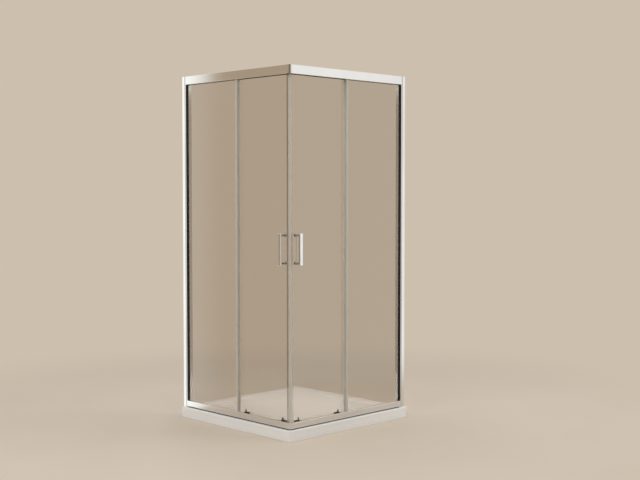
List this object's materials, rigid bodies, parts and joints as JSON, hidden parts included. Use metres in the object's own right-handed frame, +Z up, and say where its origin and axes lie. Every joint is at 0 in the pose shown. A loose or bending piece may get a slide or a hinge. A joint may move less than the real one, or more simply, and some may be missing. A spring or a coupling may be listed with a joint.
{
  "type": "shower enclosure",
  "caption": "Square corner-entry shower enclosure: fixed glass panels and sliding glass doors in a bright aluminium frame on a low white tray.",
  "frame": {"origin": "middle of the tray's underside, where it stands on the floor", "axes": "+Z up; the walls of the room are at -X and +Y, the doors meet at the free corner at +X -Y"},
  "size_m": [0.9, 0.9, 1.9086],
  "materials": {
    "tray_acrylic": "glossy white acrylic on cast resin",
    "polished_aluminium": "bright polished and anodised",
    "chrome": "mirror chrome plate",
    "steel": "stainless",
    "clear_glass": "clear toughened",
    "black_rubber": "matt extruded rubber",
    "black_nylon": "moulded, satin",
    "white_nylon": "turned, satin",
    "clear_seal": "clear soft PVC",
    "smoky_seal": "smoky translucent soft PVC",
    "white_seal": "milky soft PVC",
    "magnet_strip": "ferrite-filled strip",
    "grey_plastic": "moulded polypropylene"
  },
  "bodies": {
    "root": {"shower_tray": "tray_acrylic", "waste_cup": "grey_plastic", "waste_seal": "black_rubber", "waste_flange": "chrome", "waste_cover": "tray_acrylic", "top_corner_piece": "chrome", "bottom_corner_piece": "chrome", "corner_screws": "steel", "front_wall_profile": "polished_aluminium", "front_jamb": "polished_aluminium", "front_jamb_screws": "steel", "front_top_rail": "polished_aluminium", "front_bottom_rail": "polished_aluminium", "front_rail_screws": "steel", "front_fixed_glass": "clear_glass", "front_glass_gasket": "black_rubber", "front_gasket_plugs": "black_rubber", "front_fixed_edge_strip": "clear_seal", "front_door_stops": "black_rubber", "side_wall_profile": "polished_aluminium", "side_jamb": "polished_aluminium", "side_jamb_screws": "steel", "side_top_rail": "polished_aluminium", "side_bottom_rail": "polished_aluminium", "side_rail_screws": "steel", "side_fixed_glass": "clear_glass", "side_glass_gasket": "black_rubber", "side_gasket_plugs": "black_rubber", "side_fixed_edge_strip": "clear_seal", "side_door_stops": "black_rubber"},
    "front_door": {"front_door_glass": "clear_glass", "front_magnetic_seal": "white_seal", "front_magnet": "magnet_strip", "front_trailing_seal": "smoky_seal", "front_handle": "chrome", "front_handle_washers": "clear_seal", "front_handle_screws": "chrome", "front_roller_bushes": "steel", "front_roller_axles": "steel", "front_guides": "black_nylon", "front_guide_screws": "steel"},
    "front_lead_wheel": {"front_lead_wheel": "white_nylon"},
    "front_trail_wheel": {"front_trail_wheel": "white_nylon"},
    "front_lead_release": {"front_lead_release": "black_nylon"},
    "front_trail_release": {"front_trail_release": "black_nylon"},
    "side_door": {"side_door_glass": "clear_glass", "side_magnetic_seal": "white_seal", "side_magnet": "magnet_strip", "side_trailing_seal": "smoky_seal", "side_handle": "chrome", "side_handle_washers": "clear_seal", "side_handle_screws": "chrome", "side_roller_bushes": "steel", "side_roller_axles": "steel", "side_guides": "black_nylon", "side_guide_screws": "steel"},
    "side_lead_wheel": {"side_lead_wheel": "white_nylon"},
    "side_trail_wheel": {"side_trail_wheel": "white_nylon"},
    "side_lead_release": {"side_lead_release": "black_nylon"},
    "side_trail_release": {"side_trail_release": "black_nylon"}
  },
  "joints": [
    {"name": "front_door_slide", "type": "slide", "parent": "root", "child": "front_door", "axis": [-1, 0, 0], "range_m": [0, 0.335]},
    {"name": "side_door_slide", "type": "slide", "parent": "root", "child": "side_door", "axis": [0, 1, 0], "range_m": [0, 0.335]},
    {"name": "front_lead_wheel_roll", "type": "hinge", "parent": "front_door", "child": "front_lead_wheel", "pos_m": [0.343, -0.3915, 1.8813], "axis": [0, -1, 0], "range_deg": [0, 1930]},
    {"name": "front_trail_wheel_roll", "type": "hinge", "parent": "front_door", "child": "front_trail_wheel", "pos_m": [0.045, -0.3915, 1.8813], "axis": [0, -1, 0], "range_deg": [0, 1930]},
    {"name": "front_lead_release_lift", "type": "slide", "parent": "front_door", "child": "front_lead_release", "axis": [0, 0, 1], "range_m": [0, 0.012]},
    {"name": "front_trail_release_lift", "type": "slide", "parent": "front_door", "child": "front_trail_release", "axis": [0, 0, 1], "range_m": [0, 0.012]},
    {"name": "side_lead_wheel_roll", "type": "hinge", "parent": "side_door", "child": "side_lead_wheel", "pos_m": [0.3915, -0.343, 1.8813], "axis": [-1, 0, 0], "range_deg": [0, 1930]},
    {"name": "side_trail_wheel_roll", "type": "hinge", "parent": "side_door", "child": "side_trail_wheel", "pos_m": [0.3915, -0.045, 1.8813], "axis": [-1, 0, 0], "range_deg": [0, 1930]},
    {"name": "side_lead_release_lift", "type": "slide", "parent": "side_door", "child": "side_lead_release", "axis": [0, 0, 1], "range_m": [0, 0.012]},
    {"name": "side_trail_release_lift", "type": "slide", "parent": "side_door", "child": "side_trail_release", "axis": [0, 0, 1], "range_m": [0, 0.012]}
  ],
  "couplings": [
    {"joint": "front_lead_wheel_roll", "follows": "front_door_slide", "rad_per_m": 100},
    {"joint": "front_trail_wheel_roll", "follows": "front_door_slide", "rad_per_m": 100},
    {"joint": "side_lead_wheel_roll", "follows": "side_door_slide", "rad_per_m": 100},
    {"joint": "side_trail_wheel_roll", "follows": "side_door_slide", "rad_per_m": 100}
  ]
}
